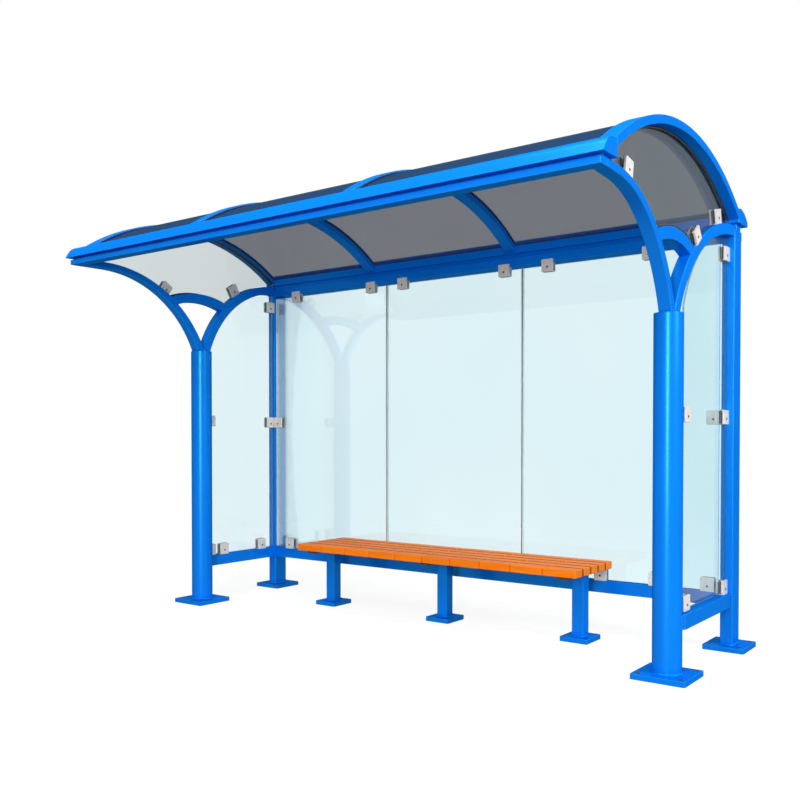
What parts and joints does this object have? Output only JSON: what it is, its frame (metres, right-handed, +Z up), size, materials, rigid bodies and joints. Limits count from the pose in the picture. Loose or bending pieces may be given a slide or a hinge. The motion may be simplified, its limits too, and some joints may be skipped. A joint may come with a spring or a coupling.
{
  "type": "bus shelter",
  "caption": "Open-fronted bus shelter with a barrel-arched roof on forked columns, glass back and side walls, and a slatted bench.",
  "frame": {"origin": "on the floor, at the bottom centre of the bounding box, under the middle of the roof", "axes": "+X along the shelter to the right as seen from the open front, +Y from the open front to the back wall, +Z up"},
  "size_m": [3.83, 1.9985, 2.7239],
  "materials": {
    "blue_paint": "gloss powder coat",
    "roof_sheet": "smoked translucent sheet",
    "glass": "clear toughened glass with a faint aqua tint",
    "clamp_metal": "satin cast metal",
    "bench_timber": "orange-brown stained timber, satin"
  },
  "bodies": {
    "root": {"arm_brace_left": "blue_paint", "arm_brace_right": "blue_paint", "back_clamps": "clamp_metal", "back_glass_left": "glass", "back_glass_middle": "glass", "back_glass_right": "glass", "back_rail": "blue_paint", "bench_leg_left": "blue_paint", "bench_leg_middle": "blue_paint", "bench_leg_right": "blue_paint", "bench_slats": "bench_timber", "front_arm_left": "blue_paint", "front_arm_right": "blue_paint", "front_base_plate_left": "blue_paint", "front_base_plate_right": "blue_paint", "front_beam": "blue_paint", "front_cap": "blue_paint", "front_column_left": "blue_paint", "front_column_right": "blue_paint", "gable_clamps_left": "clamp_metal", "gable_clamps_right": "clamp_metal", "gable_glass_left": "glass", "gable_glass_right": "glass", "rear_arm_left": "blue_paint", "rear_arm_right": "blue_paint", "rear_base_plate_left": "blue_paint", "rear_base_plate_right": "blue_paint", "rear_beam": "blue_paint", "rear_cap": "blue_paint", "rear_post_left": "blue_paint", "rear_post_right": "blue_paint", "roof_rib_end_left": "blue_paint", "roof_rib_end_right": "blue_paint", "roof_rib_middle_left": "blue_paint", "roof_rib_middle_right": "blue_paint", "roof_sheet_left": "roof_sheet", "roof_sheet_middle": "roof_sheet", "roof_sheet_right": "roof_sheet", "side_clamps_left": "clamp_metal", "side_clamps_right": "clamp_metal", "side_glass_left": "glass", "side_glass_right": "glass", "side_rail_left": "blue_paint", "side_rail_right": "blue_paint"}
  },
  "joints": []
}
